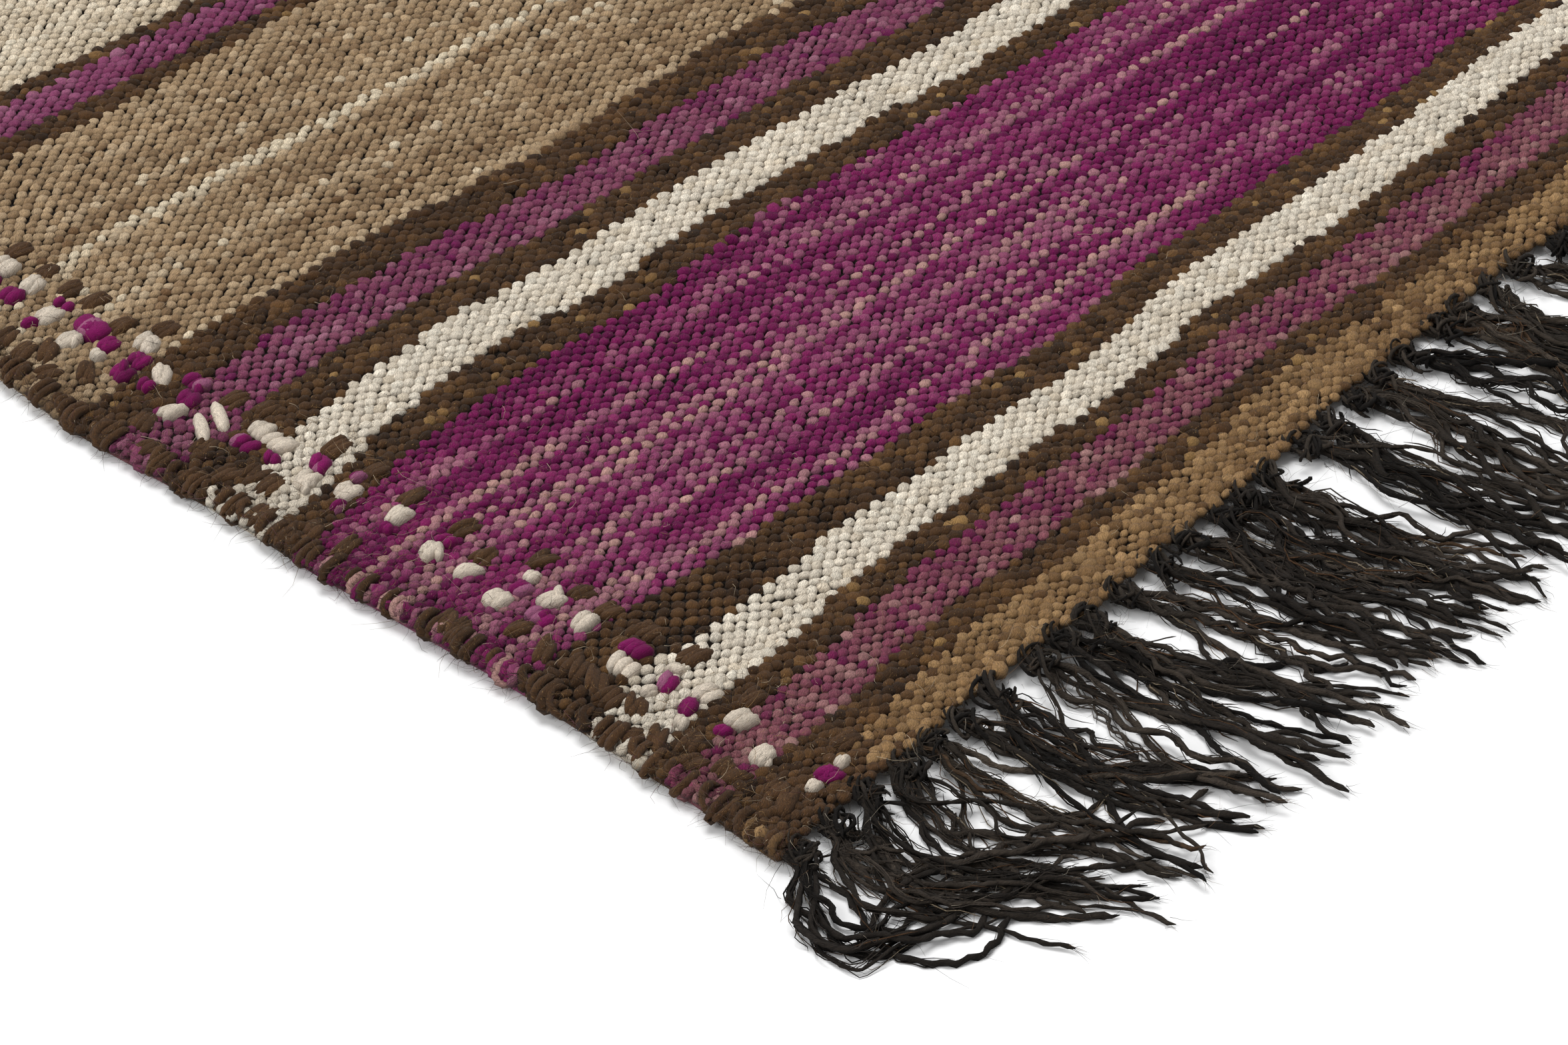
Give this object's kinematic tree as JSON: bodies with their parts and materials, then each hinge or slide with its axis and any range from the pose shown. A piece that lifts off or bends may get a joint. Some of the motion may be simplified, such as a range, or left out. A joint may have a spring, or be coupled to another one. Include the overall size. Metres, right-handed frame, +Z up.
{
  "type": "runner rug",
  "caption": "Flat-woven striped runner rug with a brocade column along each selvedge and knotted goat-hair fringe at both ends.",
  "frame": {"origin": "centre of the underside, on the floor", "axes": "+X across the rug along the weft, +Y along its length along the warp, +Z up from the floor"},
  "size_m": [0.62, 2.062, 0.0058],
  "materials": {
    "fringe_yarn": "matt hand-spun wool or goat hair",
    "warp_yarn": "matt hand-spun wool or goat hair",
    "selvedge_yarn": "matt hand-spun wool or goat hair",
    "brocade_cream": "matt hand-spun wool or goat hair",
    "brocade_magenta": "matt hand-spun wool or goat hair",
    "brocade_brown": "matt hand-spun wool or goat hair",
    "beige_weft": "matt hand-spun wool or goat hair",
    "brown_weft": "matt hand-spun wool or goat hair",
    "camel_weft": "matt hand-spun wool or goat hair",
    "cream_weft": "matt hand-spun wool or goat hair",
    "magenta_weft": "matt hand-spun wool or goat hair",
    "mauve_weft": "matt hand-spun wool or goat hair"
  },
  "bodies": {
    "rug": {"beige_field_01": "beige_weft", "beige_field_02": "beige_weft", "beige_field_03": "beige_weft", "brocade_brown_left": "brocade_brown", "brocade_brown_right": "brocade_brown", "brocade_cream_left": "brocade_cream", "brocade_cream_right": "brocade_cream", "brocade_magenta_left": "brocade_magenta", "brocade_magenta_right": "brocade_magenta", "brown_stripes_01": "brown_weft", "brown_stripes_02": "brown_weft", "brown_stripes_03": "brown_weft", "brown_stripes_04": "brown_weft", "brown_stripes_05": "brown_weft", "brown_stripes_06": "brown_weft", "brown_stripes_07": "brown_weft", "brown_stripes_08": "brown_weft", "camel_end_stripe_01": "camel_weft", "camel_end_stripe_02": "camel_weft", "camel_field_01": "camel_weft", "camel_field_02": "camel_weft", "camel_field_03": "camel_weft", "camel_field_04": "camel_weft", "camel_field_05": "camel_weft", "camel_field_06": "camel_weft", "cream_stripe_01": "cream_weft", "cream_stripe_02": "cream_weft", "cream_stripe_03": "cream_weft", "cream_stripe_04": "cream_weft", "cream_stripe_05": "cream_weft", "cream_stripe_06": "cream_weft", "cream_stripe_07": "cream_weft", "cream_stripe_08": "cream_weft", "fringe_bundles_back": "fringe_yarn", "fringe_bundles_front": "fringe_yarn", "fringe_knots_back": "fringe_yarn", "fringe_knots_front": "fringe_yarn", "magenta_field_01": "magenta_weft", "magenta_field_02": "magenta_weft", "magenta_field_03": "magenta_weft", "magenta_field_04": "magenta_weft", "magenta_stripe_01": "magenta_weft", "magenta_stripe_02": "magenta_weft", "magenta_stripe_03": "magenta_weft", "magenta_stripe_04": "magenta_weft", "magenta_stripe_05": "magenta_weft", "magenta_stripe_06": "magenta_weft", "mauve_stripe_01": "mauve_weft", "mauve_stripe_02": "mauve_weft", "mauve_stripe_03": "mauve_weft", "mauve_stripe_04": "mauve_weft", "mauve_stripe_05": "mauve_weft", "mauve_stripe_06": "mauve_weft", "mauve_stripe_07": "mauve_weft", "mauve_stripe_08": "mauve_weft", "selvedge_cord_left": "selvedge_yarn", "selvedge_cord_right": "selvedge_yarn", "warp_cords": "warp_yarn"}
  },
  "joints": []
}
